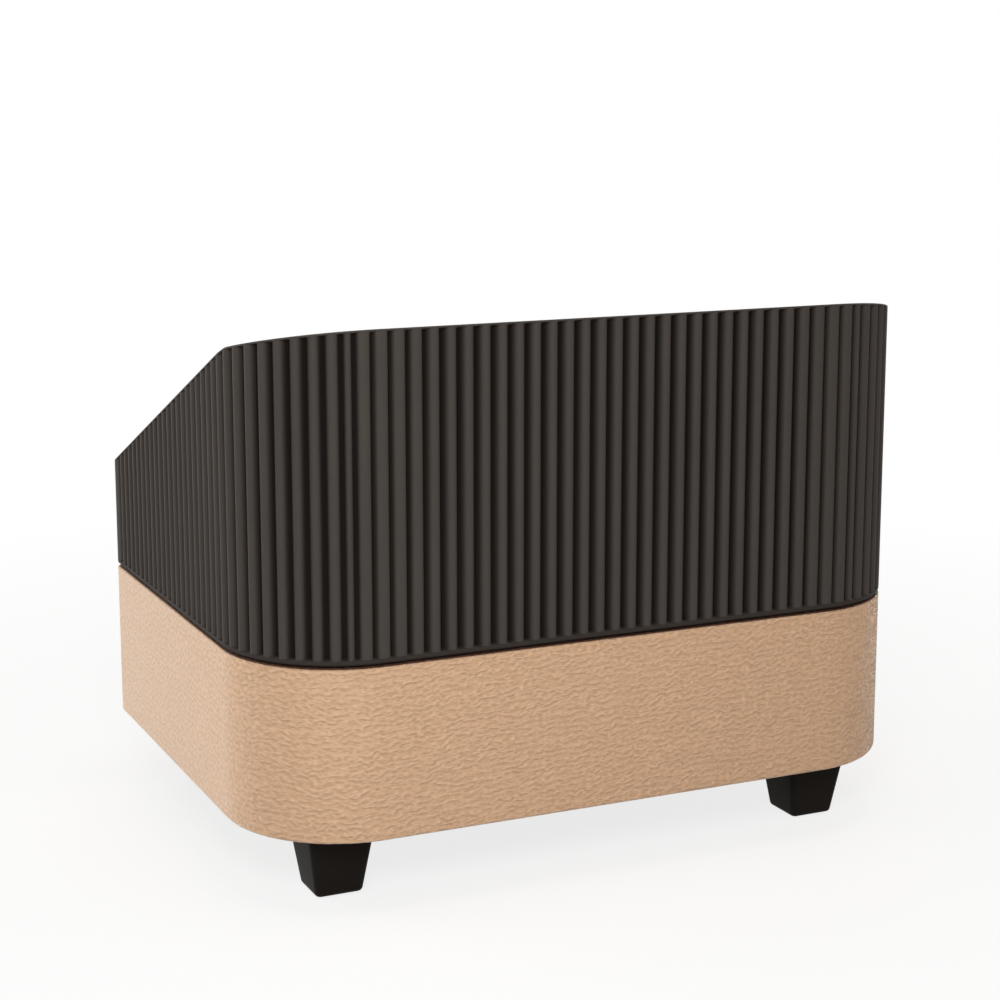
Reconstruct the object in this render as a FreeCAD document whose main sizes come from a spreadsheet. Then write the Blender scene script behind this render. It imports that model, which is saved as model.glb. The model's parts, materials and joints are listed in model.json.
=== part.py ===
import FreeCAD, Part
import Sketcher
import math
import os
import re

# Make-up brush holder with a drawer.
#
# A leather-covered base on four tapered feet carries a ribbed open shell.  The shell is divided into brush
# bays at the back, two bays in the middle and two shallow bays at the front.  A drawer slides out of the
# base towards the front.
#
# Frame: millimetres, +Z up, origin on the ground under the middle of everything (knob included),
# front (drawer side) towards -Y, back towards +Y, left towards -X as seen from the front.

doc = FreeCAD.newDocument("BrushHolder")
sheet = doc.addObject("Spreadsheet::Sheet", "Sizes")

# ---------------------------------------------------------------------------------------------------------
# Driving dimensions: name, size in millimetres, what it is
# ---------------------------------------------------------------------------------------------------------

DRIVING = [
    ("body_width", 225, "outside width of base and shell"),
    ("body_depth", 160, "outside depth of base and shell, without the knob"),
    ("back_radius", 37, "radius of the two upright corners at the back"),
    ("front_radius", 4, "radius of the two upright corners at the front"),
    ("ground_gap", 22, "height of the underside of the base above the ground"),
    ("base_height", 52.7, "height of the leather-covered base"),
    ("base_edge", 2, "rounding of the lower edge of the base"),
    ("leather", 1, "thickness of the leather"),
    ("leather_return", 8, "leather turned in round the front ends of the side walls"),
    ("leather_turn", 12, "leather turned under the base"),
    ("base_wall", 4, "thickness of the bent wall of the base"),
    ("board", 4, "thickness of the floor board and the deck board of the base"),
    ("glue_fit", 0.15, "glue gap round a board"),
    ("lining_corner", 8, "radius of the lining's corners at the back"),
    ("shell_back", 97.7, "height of the shell at the back"),
    ("shell_front", 36.5, "height of the shell at the front"),
    ("crest_length", 30.2, "length of the gentle slope next to the back"),
    ("crest_drop", 6.6, "fall of the gentle slope"),
    ("crest_radius", 14, "rounding where the gentle slope meets the steep one"),
    ("shell_wall", 4, "thickness of the shell, ribs included"),
    ("rib_pitch", 5.375, "distance from rib to rib"),
    ("rib_groove", 2.4, "width of the groove between two ribs"),
    ("rib_depth", 1.5, "depth of the groove between two ribs"),
    ("narrow_rib", 3.8, "width of the closing rib in each back corner"),
    ("closing_arc", 10.5, "how far round a back corner the ribs of the back reach"),
    ("bead_height", 2.8, "height of the plain bead under the ribs"),
    ("shadow_height", 0.6, "height of the dark joint between shell and base"),
    ("shadow_depth", 0.8, "depth of the dark joint between shell and base"),
    ("flange", 12, "width of the shell's inner flange"),
    ("flange_plate", 2.5, "thickness of the shell's inner flange"),
    ("tray_lip", 1.5, "thickness of the tray floor where it lies on the flange"),
    ("tray_fit", 0.3, "gap round the tray floor"),
    ("partition", 2.5, "thickness of partitions and dividers"),
    ("brush_row", 56, "from the back face to the middle of the rear partition"),
    ("front_row", 50, "from the front face to the middle of the front partition"),
    ("brush_bay", 72, "distance between the two brush dividers"),
    ("partition_drop", 7, "how far the partitions stay below the shell's top edge"),
    ("partition_edge", 1, "rounding of the top edges of the partitions"),
    ("slot_depth", 1, "depth of the slots that hold the partitions"),
    ("slot_fit", 0.1, "play of a partition in its slot"),
    ("reveal", 0.8, "gap round the drawer front"),
    ("front_core", 8, "thickness of the board in the drawer front"),
    ("front_edge", 1.6, "rounding of the drawer front"),
    ("drawer_board", 5, "thickness of the drawer's boards"),
    ("drawer_height", 37.5, "height of the drawer's sides"),
    ("back_rise", 2.6, "how far the drawer's back stands above its sides"),
    ("drawer_length", 113, "length of the drawer box behind its front"),
    ("drawer_floor", 2.5, "thickness of the drawer's floor"),
    ("floor_rise", 3, "height of the floor's groove above the drawer's lower edge"),
    ("floor_groove", 2, "depth of the groove that holds the drawer's floor"),
    ("felt", 1, "thickness of the felt in the drawer"),
    ("drawer_travel", 82, "how far the drawer slides out"),
    ("stop_radius", 2.5, "radius of a stop peg"),
    ("stop_reach", 3.6, "how far a stop peg hangs below the deck board"),
    ("stop_inset", 42.5, "from the side of the body to the middle of a stop peg"),
    ("stop_gap", 0.3, "gap between peg and drawer back with the drawer right out"),
    ("runner_plate", 1.5, "thickness of a drawer runner"),
    ("runner_width", 9, "width of a drawer runner on the floor"),
    ("runner_lip", 8, "height of a drawer runner at the wall"),
    ("side_play", 0.6, "play between drawer side and runner"),
    ("lift_play", 0.1, "play between drawer side and the runner under it"),
    ("knob_reach", 16, "how far the knob stands out from the drawer front"),
    ("knob_head", 8, "radius of the knob's head"),
    ("knob_neck", 3.8, "radius of the knob's neck"),
    ("knob_foot", 6, "radius of the knob's foot"),
    ("knob_face", 5.6, "radius of the knob's flat face"),
    ("knob_foot_height", 1.6, "height of the knob's foot"),
    ("knob_foot_slope", 1.6, "length over which the foot narrows to the neck"),
    ("knob_flare", 4, "length over which the neck widens to the head"),
    ("knob_rim", 2.6, "length of the knob head's rim"),
    ("knob_crown", 2.2, "length over which the head narrows to its face"),
    ("knob_edge", 1, "rounding of the knob head's edges"),
    ("knob_thread", 6, "how far the knob's screw reaches into the knob"),
    ("foot_top", 21.5, "side of a foot at its top"),
    ("foot_bottom", 15, "side of a foot at its bottom"),
    ("foot_edge", 2, "rounding of a foot's edges"),
    ("sole_edge", 1.5, "rounding round the sole of a foot"),
    ("foot_inset_x", 29, "from the side of the body to the middle of a foot"),
    ("foot_inset_y", 25, "from the front or back of the body to the middle of a foot"),
    ("pad_side", 10, "side of a foot's pad"),
    ("pad_thickness", 1.5, "thickness of a foot's pad"),
    ("pad_proud", 0.5, "how far the pad stands below the foot"),
    ("pad_fit", 0.2, "gap round a pad"),
    ("screw_radius", 1.5, "radius of a screw's shank"),
    ("head_radius", 2.9, "radius of a screw's head"),
    ("head_height", 1.6, "height of a countersunk head"),
    ("screw_fit", 0.1, "play round a screw"),
    ("driver_slot", 3.6, "length of a driver slot in a screw's head"),
    ("driver_width", 0.8, "width of a driver slot"),
    ("driver_depth", 1.1, "depth of a driver slot"),
    ("foot_screw", 15, "length of a foot screw"),
    ("shell_screw", 6, "length of a shell screw"),
    ("front_screw", 10, "length of a drawer front screw"),
    ("front_screw_inset", 37.5, "from the side of the body to a screw of the drawer front"),
    ("front_screw_z", 16, "height between the drawer front's screws"),
    ("overshoot", 1, "how far a cutting shape reaches past what it cuts"),
    ("least_radius", 0.5, "rounding that an inner corner always keeps"),
]

# What follows from them, in the sheet as formulas: name, formula, what it is
DERIVED = [
    ("half_width", "body_width / 2", "middle to side"),
    ("front_face", "knob_reach / 2 - body_depth / 2", "y of the front face"),
    ("back_face", "knob_reach / 2 + body_depth / 2", "y of the back face"),
    ("wall_bottom", "ground_gap + leather", "underside of wall and floor board"),
    ("base_top", "ground_gap + base_height", "joint between base and shell"),
    ("floor_top", "wall_bottom + board", "top of the floor board"),
    ("deck_bottom", "base_top - board", "underside of the deck board"),
    ("cavity_half", "half_width - leather - base_wall", "middle to the inside of the base wall"),
    ("cavity_back", "back_face - leather - base_wall", "y of the inside of the base wall"),
    ("cavity_radius", "back_radius - leather - base_wall", "inner corner of the base wall"),
    ("opening_half", "cavity_half - leather", "half the drawer opening"),
    ("front_depth", "front_core + leather", "thickness of the finished drawer front"),
    ("drawer_start", "front_face + front_depth", "y of the back of the drawer front"),
    ("stage_front", "drawer_start + reveal", "y where boards behind the drawer front begin"),
    ("shell_inner_half", "half_width - shell_wall", "middle to the inside of the shell"),
    ("tray_top", "base_top + flange_plate + tray_lip", "floor of the bays"),
    ("shell_top", "base_top + shell_back", "top of the shell at the back"),
    ("crest_height", "shell_top - crest_drop", "top of the shell where the slope changes"),
    ("crest_y", "back_face - crest_length", "y where the slope changes"),
    ("front_top", "base_top + shell_front", "top of the shell at the front"),
    ("roof_slope", "(crest_height - front_top) / (body_depth - crest_length)", "rise of the steep slope"),
    ("rear_y", "back_face - brush_row", "y of the rear partition"),
    ("fore_y", "front_face + front_row", "y of the front partition"),
    ("low_top", "front_top - partition_drop", "top of the front divider"),
    ("rear_top", "low_top + roof_slope * (rear_y - front_face)", "top of the rear partition"),
    ("fore_top", "low_top + roof_slope * (fore_y - front_face)", "top of the front partition"),
    ("seat", "slot_depth - slot_fit", "how far a partition reaches into its slot"),
    ("runner_inner", "cavity_half - runner_plate", "middle to the lip of a runner"),
    ("drawer_half", "runner_inner - side_play", "half the width of the drawer box"),
    ("drawer_bottom", "floor_top + runner_plate + lift_play", "lower edge of the drawer box"),
    ("drawer_top", "drawer_bottom + drawer_height", "upper edge of the drawer's sides"),
    ("drawer_end", "drawer_start + drawer_length", "y of the back of the drawer box"),
    ("drawer_inner", "drawer_half - drawer_board", "half the inside width of the drawer"),
    ("front_half", "opening_half - reveal", "half the width of the drawer front"),
    ("front_low", "ground_gap + reveal / 2", "lower edge of the drawer front"),
    ("front_high", "base_top - reveal", "upper edge of the drawer front"),
    ("front_middle", "(front_low + front_high) / 2", "height of the knob"),
    ("stop_x", "half_width - stop_inset", "middle to a stop peg"),
    ("foot_x", "half_width - foot_inset_x", "middle to the middle of a foot"),
    ("foot_front_y", "front_face + foot_inset_y", "y of the front feet"),
    ("foot_back_y", "back_face - foot_inset_y", "y of the back feet"),
    ("front_screw_x", "half_width - front_screw_inset", "middle to a screw of the drawer front"),
    ("stop_y", "drawer_end - drawer_board - drawer_travel - stop_gap - stop_radius", "y of the stop pegs"),
    ("foot_height", "ground_gap - pad_proud", "height of a foot"),
    ("lining_half", "half_width - leather - leather_turn", "half the width of the lining"),
    ("lining_front", "stage_front + leather_turn", "y of the lining's front edge"),
    ("lining_back", "back_face - leather - leather_turn", "y of the lining's back edge"),
    ("flange_half", "shell_inner_half - flange / 2", "middle to the middle of the flange at a side"),
    ("flange_back", "back_face - shell_wall - flange / 2", "y of the middle of the flange at the back"),
    ("slot_half", "partition / 2 + slot_fit", "half the width of a slot for a partition"),
    ("tongue", "partition / 4", "how far a divider reaches into the face of a partition"),
    ("knob_screw", "drawer_board + front_depth + knob_thread", "length of the knob's screw"),
]

# Two places nearer than this are the same place
TOUCH = 1e-6

aliases = set()
for row, (alias, amount, meaning) in enumerate(DRIVING + DERIVED, start=1):
    driving = not isinstance(amount, str)
    sheet.set("A%d" % row, meaning)
    sheet.set("B%d" % row, str(amount) if driving else "=" + amount)
    sheet.setAlias("B%d" % row, alias)
    aliases.add(alias)
doc.recompute()


def size(alias):
    """The present value of a cell of the sheet."""
    return float(sheet.get(alias))


def in_sheet(word):
    """A matched word as it is called from outside the sheet, if it names one of its cells."""
    return "Sizes." + word.group() if word.group() in aliases else word.group()


def bind(item, prop, formula):
    """Tie a property to a formula in which sizes are called by their names."""
    item.setExpression(prop, re.sub(r"[a-z_]+", in_sheet, formula))


def place(item, x, y, z):
    bind(item, "Placement.Base.x", x)
    bind(item, "Placement.Base.y", y)
    bind(item, "Placement.Base.z", z)
    return item


# ---------------------------------------------------------------------------------------------------------
# Bodies: sketches, pads, pockets and fillets
# ---------------------------------------------------------------------------------------------------------

def new_body(name, x="0", y="0", z="0"):
    return place(doc.addObject("PartDesign::Body", name), x, y, z)


def new_sketch(body, role="XY_Plane", lift="0"):
    sketch = body.newObject("Sketcher::SketchObject", body.Name + "_sketch")
    plane = [item for item in body.Origin.OriginFeatures if item.Role == role][0]
    sketch.AttachmentSupport = (plane, [""])
    sketch.MapMode = "FlatFace"
    bind(sketch, "AttachmentOffset.Base.z", lift)
    return sketch


def pin_point(sketch, line, end, x, y):
    """Hold a point of the sketch at x, y from the sketch's origin."""
    for kind, formula in (("DistanceX", x), ("DistanceY", y)):
        number = sketch.addConstraint(Sketcher.Constraint(kind, -1, 1, line, end, 1.0))
        bind(sketch, "Constraints[%d]" % number, formula)


def draw_polygon(sketch, corners):
    count = len(corners)
    turn = 2 * math.pi / count
    start = [FreeCAD.Vector(math.cos(turn * i), math.sin(turn * i), 0) for i in range(count)]
    for i in range(count):
        sketch.addGeometry(Part.LineSegment(start[i], start[(i + 1) % count]), False)
    for i in range(count):
        sketch.addConstraint(Sketcher.Constraint("Coincident", i, 2, (i + 1) % count, 1))
    for i, (x, y) in enumerate(corners):
        pin_point(sketch, i, 1, x, y)
    return sketch


def draw_rectangle(sketch, x_low, y_low, x_high, y_high):
    return draw_polygon(sketch, [(x_low, y_low), (x_high, y_low), (x_high, y_high), (x_low, y_high)])


def pad(body, sketch, height):
    feature = body.newObject("PartDesign::Pad", body.Name + "_pad")
    feature.Profile = sketch
    bind(feature, "Length", height)
    sketch.Visibility = False
    return feature


def pocket(body, sketch, depth):
    """Cut from the sketch's plane against its normal, and see to it that something was cut."""
    doc.recompute()
    before = body.Shape.Volume
    feature = body.newObject("PartDesign::Pocket", body.Name + "_pocket")
    feature.Profile = sketch
    bind(feature, "Length", depth)
    doc.recompute()
    if body.Shape.Volume > before - TOUCH:
        raise RuntimeError("a pocket of %s cuts nothing" % body.Label)
    return feature


def fillet(body, radius, wanted):
    """Round the edges of the body for which wanted(edge) is true."""
    doc.recompute()
    base = body.Tip
    names = ["Edge%d" % (i + 1) for i, edge in enumerate(base.Shape.Edges) if wanted(edge)]
    feature = body.newObject("PartDesign::Fillet", body.Name + "_fillet")
    feature.Base = (base, names)
    bind(feature, "Radius", radius)
    return feature


def upright(edge):
    first, last = edge.Vertexes[0].Point, edge.Vertexes[-1].Point
    return abs(first.z - last.z) > edge.Length / 2


def at_height(edge, height):
    return all(abs(vertex.Z - height) < TOUCH for vertex in edge.Vertexes)


def plate(name, x_low, y_low, x_high, y_high, z_low, z_high, back_radius=None, front_radius=None):
    """An upright prism on a rectangle, with its back and front upright edges rounded."""
    body = new_body(name, "0", "0", z_low)
    sketch = draw_rectangle(new_sketch(body), x_low, y_low, x_high, y_high)
    pad(body, sketch, "%s - (%s)" % (z_high, z_low))
    doc.recompute()
    middle = body.Shape.BoundBox.Center.y
    if back_radius:
        fillet(body, back_radius, lambda edge: upright(edge) and edge.CenterOfMass.y > middle)
    if front_radius:
        fillet(body, front_radius, lambda edge: upright(edge) and edge.CenterOfMass.y < middle)
    return body


def outline_plate(name, inset, z_low, z_high):
    """A plate with the body's outline, drawn in by an amount all round."""
    return plate(
        name, "-(half_width - (%s))" % inset, "front_face + (%s)" % inset,
        "half_width - (%s)" % inset, "back_face - (%s)" % inset, z_low, z_high,
        "back_radius - (%s)" % inset, "max(front_radius - (%s); least_radius)" % inset,
    )


# ---------------------------------------------------------------------------------------------------------
# Primitives and booleans
# ---------------------------------------------------------------------------------------------------------

def block(name, x_low, y_low, z_low, x_high, y_high, z_high):
    box = doc.addObject("Part::Box", name)
    bind(box, "Length", "%s - (%s)" % (x_high, x_low))
    bind(box, "Width", "%s - (%s)" % (y_high, y_low))
    bind(box, "Height", "%s - (%s)" % (z_high, z_low))
    return place(box, x_low, y_low, z_low)


def turned(item, axis, angle):
    item.Placement = FreeCAD.Placement(FreeCAD.Vector(0, 0, 0), FreeCAD.Rotation(axis, angle))
    return item


UP = (FreeCAD.Vector(0, 0, 1), 0)
DOWN = (FreeCAD.Vector(1, 0, 0), 180)
FRONTWARD = (FreeCAD.Vector(1, 0, 0), 90)


def rod(name, radius, length, x, y, z, heading):
    cylinder = turned(doc.addObject("Part::Cylinder", name), *heading)
    bind(cylinder, "Radius", radius)
    bind(cylinder, "Height", length)
    return place(cylinder, x, y, z)


def taper(name, radius_start, radius_end, length, x, y, z, heading):
    cone = turned(doc.addObject("Part::Cone", name), *heading)
    bind(cone, "Radius1", radius_start)
    bind(cone, "Radius2", radius_end)
    bind(cone, "Height", length)
    return place(cone, x, y, z)


def fuse(name, *items):
    joined = doc.addObject("Part::MultiFuse", name)
    joined.Shapes = list(items)
    joined.Refine = False
    return joined


def cut(name, base, *tools):
    result = doc.addObject("Part::Cut", name)
    result.Base = base
    result.Tool = tools[0] if len(tools) == 1 else fuse(name + "_tools", *tools)
    result.Refine = False
    return result


def group(name, items):
    compound = doc.addObject("Part::Compound", name)
    compound.Links = list(items)
    return compound


def screw(name, length, x, y, z, heading, grow="0"):
    """A countersunk screw whose head lies in the plane at x, y, z; with grow it is the hole for one."""
    thin = "screw_radius + " + grow
    wide = "head_radius + " + grow
    shank = rod(name + "_shank", thin, length, x, y, z, heading)
    head = taper(name + "_head", wide, thin, "head_height", x, y, z, heading)
    return fuse(name, shank, head)


def driver_cross(name, x, y, z, along_y=False):
    """Two crossed slots of a driver recess, centred at x, y, z."""
    arms = []
    for number, (wide, high) in enumerate((("driver_slot / 2", "driver_width / 2"),
                                           ("driver_width / 2", "driver_slot / 2"))):
        if along_y:
            low = (x + " - " + wide, y + " - driver_depth", z + " - " + high)
            top = (x + " + " + wide, y + " + driver_depth", z + " + " + high)
        else:
            low = (x + " - " + wide, y + " - " + high, z + " - driver_depth")
            top = (x + " + " + wide, y + " + " + high, z + " + driver_depth")
        arms.append(block("%s_arm_%d" % (name, number), *low, *top))
    return arms


nodes = []


def keep(item, name=None):
    """This is a finished sub-part: its label names its file."""
    if name:
        item.Label = name
    nodes.append(item)
    return item


SIDES = (("left", "-"), ("right", "+"))
ENDS = (("front", "foot_front_y"), ("back", "foot_back_y"))

# ---------------------------------------------------------------------------------------------------------
# Base: bent wall, floor board, deck board, leather and lining
# ---------------------------------------------------------------------------------------------------------

leather_block = outline_plate("leather_block", "0", "ground_gap", "base_top")
fillet(leather_block, "base_edge", lambda edge: at_height(edge, 0))

wall_block = outline_plate("wall_block", "leather", "wall_bottom", "base_top")
fillet(wall_block, "base_edge - leather", lambda edge: at_height(edge, 0))

cavity = plate(
    "cavity", "-cavity_half", "front_face - overshoot", "cavity_half", "cavity_back",
    "wall_bottom - overshoot", "base_top + overshoot", "cavity_radius",
)
keep(cut("base_wall", wall_block, cavity))

foot_places = []
for end, foot_y in ENDS:
    for side, sign in SIDES:
        foot_places.append((end + "_" + side, "0 %s foot_x" % sign, foot_y))

foot_holes = [screw("foot_hole_" + where, "foot_screw", x, y, "floor_top", DOWN, "screw_fit")
              for where, x, y in foot_places]

drawer_opening = block(
    "drawer_opening", "-opening_half", "front_face - overshoot", "ground_gap - overshoot",
    "opening_half", "stage_front", "base_top + overshoot",
)
lining_window = plate(
    "lining_window", "-lining_half", "lining_front", "lining_half", "lining_back",
    "ground_gap - overshoot", "wall_bottom + overshoot", "lining_corner",
)
leather_skin = cut("leather_skin", leather_block, wall_block, drawer_opening, lining_window, *foot_holes)
leather_returns = [
    block("leather_return_left", "-cavity_half", "front_face + leather", "wall_bottom",
          "-opening_half", "front_face + leather + leather_return", "base_top"),
    block("leather_return_right", "opening_half", "front_face + leather", "wall_bottom",
          "cavity_half", "front_face + leather + leather_return", "base_top"),
]
keep(fuse("leather_wrap", leather_skin, *leather_returns))


def base_board(name, z_low, z_high):
    return plate(
        name, "-(cavity_half - glue_fit)", "stage_front",
        "cavity_half - glue_fit", "cavity_back - glue_fit",
        z_low, z_high, "cavity_radius - glue_fit",
    )


shell_places = []
for side, sign in SIDES:
    shell_places.append(("front_" + side, "0 %s flange_half" % sign, "stage_front + flange"))
    shell_places.append(("back_" + side, "0 %s (half_width - back_radius)" % sign, "flange_back"))

floor_board = base_board("floor_board_blank", "wall_bottom", "floor_top")
keep(cut("base_floor", floor_board, *foot_holes))

stop_holes = [rod("stop_hole_" + side, "stop_radius + screw_fit", "board", "0 %s stop_x" % sign, "stop_y",
                  "deck_bottom", UP) for side, sign in SIDES]
shell_holes = [screw("shell_hole_" + where, "shell_screw", x, y, "deck_bottom", UP, "screw_fit")
               for where, x, y in shell_places]
deck_board = base_board("deck_board_blank", "deck_bottom", "base_top")
keep(cut("base_deck", deck_board, *shell_holes, *stop_holes))

lining_sheet = plate(
    "lining_sheet", "-(lining_half - glue_fit)", "lining_front + glue_fit",
    "lining_half - glue_fit", "lining_back - glue_fit", "ground_gap", "wall_bottom",
    "lining_corner - glue_fit",
)
keep(cut("bottom_lining", lining_sheet, *foot_holes))

for side, sign in SIDES:
    lip = ("-cavity_half", "-runner_inner") if side == "left" else ("runner_inner", "cavity_half")
    track = ("-cavity_half", "-(cavity_half - runner_width)") if side == "left" \
        else ("cavity_half - runner_width", "cavity_half")
    runner_end = "cavity_back - cavity_radius"
    runner_lip = block("runner_lip_" + side, lip[0], "stage_front", "floor_top", lip[1], runner_end,
                       "floor_top + runner_lip")
    runner_track = block("runner_track_" + side, track[0], "stage_front", "floor_top", track[1], runner_end,
                         "floor_top + runner_plate")
    keep(fuse("drawer_runner_" + side, runner_lip, runner_track))

for side, sign in SIDES:
    peg = rod("drawer_stop_" + side, "stop_radius", "board + stop_reach", "0 %s stop_x" % sign, "stop_y",
              "deck_bottom - stop_reach", UP)
    keep(peg)

# ---------------------------------------------------------------------------------------------------------
# Feet, their pads and screws
# ---------------------------------------------------------------------------------------------------------


def square(sketch, side):
    return draw_rectangle(sketch, "-%s / 2" % side, "-%s / 2" % side, "%s / 2" % side, "%s / 2" % side)


def tapered_foot(where, x, y):
    """A square block that widens upwards.  It is drawn along its own Y and stood up by its placement."""
    foot = new_body("foot_body_" + where, x, y, "pad_proud")
    foot.Placement.Rotation = FreeCAD.Rotation(FreeCAD.Vector(1, 0, 0), 90)
    wedge = foot.newObject("PartDesign::AdditiveWedge", "foot_wedge_" + where)
    for low, high, side in (("Xmin", "Xmax", "foot_bottom"), ("Zmin", "Zmax", "foot_bottom"),
                            ("X2min", "X2max", "foot_top"), ("Z2min", "Z2max", "foot_top")):
        bind(wedge, low, "-%s / 2" % side)
        bind(wedge, high, "%s / 2" % side)
    bind(wedge, "Ymin", "0")
    bind(wedge, "Ymax", "foot_height")
    fillet(foot, "foot_edge", lambda edge: len(set(round(vertex.Y, 3) for vertex in edge.Vertexes)) == 2)
    fillet(foot, "sole_edge", lambda edge: all(abs(vertex.Y) < TOUCH for vertex in edge.Vertexes))
    recess = square(new_sketch(foot, "XZ_Plane"), "(pad_side + 2 * pad_fit)")
    pocket(foot, recess, "pad_thickness - pad_proud")
    return foot


for where, x, y in foot_places:
    foot = tapered_foot(where, x, y)
    pilot = screw("foot_pilot_" + where, "foot_screw", x, y, "floor_top", DOWN, "screw_fit")
    keep(cut("foot_" + where, foot, pilot))
    pad_body = new_body("foot_pad_" + where, x, y, "0")
    pad(pad_body, square(new_sketch(pad_body), "pad_side"), "pad_thickness")
    fillet(pad_body, "foot_edge", upright)
    keep(pad_body)

keep(group("foot_screws", [
    cut("foot_screw_" + where, screw("foot_screw_blank_" + where, "foot_screw", x, y, "floor_top", DOWN),
        *driver_cross("foot_driver_" + where, x, y, "floor_top"))
    for where, x, y in foot_places]))

keep(group("shell_screws", [
    cut("shell_screw_" + where, screw("shell_screw_blank_" + where, "shell_screw", x, y, "deck_bottom", UP),
        *driver_cross("shell_driver_" + where, x, y, "deck_bottom"))
    for where, x, y in shell_places]))

# ---------------------------------------------------------------------------------------------------------
# Ribbed shell
# ---------------------------------------------------------------------------------------------------------

SIDE_WAY = FreeCAD.Vector(1, 0, 0)


class Outline:
    """Half of the body's outline, walked from the middle of the back over the +X side to the middle of the
    front.  A distance along it gives the point and the outward direction there."""

    def __init__(self, inset=0.0):
        self.half_width = size("half_width") - inset
        self.back = size("back_face") - inset
        self.front = size("front_face") + inset
        self.back_radius = size("back_radius") - inset
        self.front_radius = max(size("front_radius") - inset, 0.5)
        self.back_end = self.half_width - self.back_radius
        self.side_start = self.back_end + self.back_radius * math.pi / 2
        self.side_end = self.side_start + (self.back - self.back_radius) - (self.front + self.front_radius)
        self.front_start = self.side_end + self.front_radius * math.pi / 2
        self.length = self.front_start + self.half_width - self.front_radius
        self.breaks = [self.back_end, self.side_start, self.side_end, self.front_start]

    def at(self, distance):
        if distance <= self.back_end:
            return FreeCAD.Vector(distance, self.back, 0), FreeCAD.Vector(0, 1, 0)
        if distance <= self.side_start:
            turn = math.pi / 2 - (distance - self.back_end) / self.back_radius
            return self.round_corner(self.back - self.back_radius, self.back_radius, turn)
        if distance <= self.side_end:
            drop = distance - self.side_start
            return FreeCAD.Vector(self.half_width, self.back - self.back_radius - drop, 0), SIDE_WAY
        if distance <= self.front_start:
            turn = -(distance - self.side_end) / self.front_radius
            return self.round_corner(self.front + self.front_radius, self.front_radius, turn)
        return FreeCAD.Vector(self.length - distance, self.front, 0), FreeCAD.Vector(0, -1, 0)

    def round_corner(self, centre_y, radius, turn):
        out = FreeCAD.Vector(math.cos(turn), math.sin(turn), 0)
        return FreeCAD.Vector(self.half_width - radius, centre_y, 0) + out * radius, out

    def stretch(self, start, end):
        """The edges of the plain outline between two distances."""
        stops = [start] + [stop for stop in self.breaks if start < stop < end] + [end]
        edges = []
        for low, high in zip(stops, stops[1:]):
            middle = (low + high) / 2
            first, last = self.at(low)[0], self.at(high)[0]
            if self.back_end < middle < self.side_start or self.side_end < middle < self.front_start:
                edges.append(Part.Arc(first, self.at(middle)[0], last).toShape())
            else:
                edges.append(Part.LineSegment(first, last).toShape())
        return edges


def groove_centres(outline):
    """Distances of the grooves between the ribs along half the outline."""
    pitch = size("rib_pitch")
    margin = size("rib_groove")
    centres = []
    distance = pitch / 2
    while distance < outline.back_end + size("closing_arc"):
        centres.append(distance)
        distance += pitch
    distance += size("narrow_rib") - pitch
    while distance < outline.side_end - margin:
        centres.append(distance)
        distance += pitch
    front_count = int((outline.length - outline.front_start - margin) / pitch + 0.5)
    for number in reversed(range(front_count)):
        centres.append(outline.length - pitch * (number + 0.5))
    return centres


def mirrored_wire(edges):
    """The closed wire of the edges and their mirror images across the middle plane."""
    other = [edge.mirror(FreeCAD.Vector(0, 0, 0), SIDE_WAY) for edge in edges]
    return Part.Wire(Part.__sortEdges__(edges + other))


def ribbed_ring():
    """The shell's wall as an upright ring, ribbed outside and plain inside."""
    outline = Outline()
    half_groove = size("rib_groove") / 2
    edges = []
    reached = 0.0
    for centre in groove_centres(outline):
        edges += outline.stretch(reached, centre - half_groove)
        point, out = outline.at(centre)
        edges.append(Part.Arc(outline.at(centre - half_groove)[0], point - out * size("rib_depth"),
                              outline.at(centre + half_groove)[0]).toShape())
        reached = centre + half_groove
    edges += outline.stretch(reached, outline.length)
    inner = Outline(size("shell_wall"))
    rims = [mirrored_wire(edges), mirrored_wire(inner.stretch(0.0, inner.length))]
    face = Part.makeFace(rims, "Part::FaceMakerBullseye")
    return face.extrude(FreeCAD.Vector(0, 0, size("shell_back") - size("bead_height")))


rib_ring = doc.addObject("Part::Feature", "rib_ring")
rib_ring.Shape = ribbed_ring()
rib_ring.Placement.Base = FreeCAD.Vector(0, 0, size("base_top") + size("bead_height"))

# Side view of the space under the shell's top edge
roof = new_body("roof")
roof_side = draw_polygon(new_sketch(roof, "YZ_Plane", "-half_width - overshoot"), [
    ("front_face - overshoot", "base_top"),
    ("back_face + overshoot", "base_top"),
    ("back_face + overshoot", "shell_top + crest_drop * overshoot / crest_length"),
    ("crest_y", "crest_height"),
    ("front_face - overshoot", "front_top - roof_slope * overshoot"),
])
pad(roof, roof_side, "body_width + 2 * overshoot")
fillet(roof, "crest_radius",
       lambda edge: all(abs(vertex.Y - size("crest_y")) < TOUCH for vertex in edge.Vertexes))

rib_wall = doc.addObject("Part::Common", "rib_wall")
rib_wall.Base = rib_ring
rib_wall.Tool = roof
rib_wall.Refine = False

bead_block = outline_plate("bead_block", "0", "base_top + shadow_height", "base_top + bead_height")
bead_hollow = outline_plate("bead_hollow", "shell_wall", "base_top", "base_top + bead_height + overshoot")
bead = cut("bead", bead_block, bead_hollow)
flange_block = outline_plate("flange_block", "shadow_depth", "base_top", "base_top + flange_plate")
flange_window = outline_plate("flange_window", "shell_wall + flange", "base_top - overshoot", "tray_top")
flange_ring = cut("flange_ring", flange_block, flange_window)

slot_top = "shell_top + overshoot"


def wall_slot(name, x_low, y_low, x_high, y_high):
    return block(name, x_low, y_low, "base_top + flange_plate", x_high, y_high, slot_top)


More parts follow.
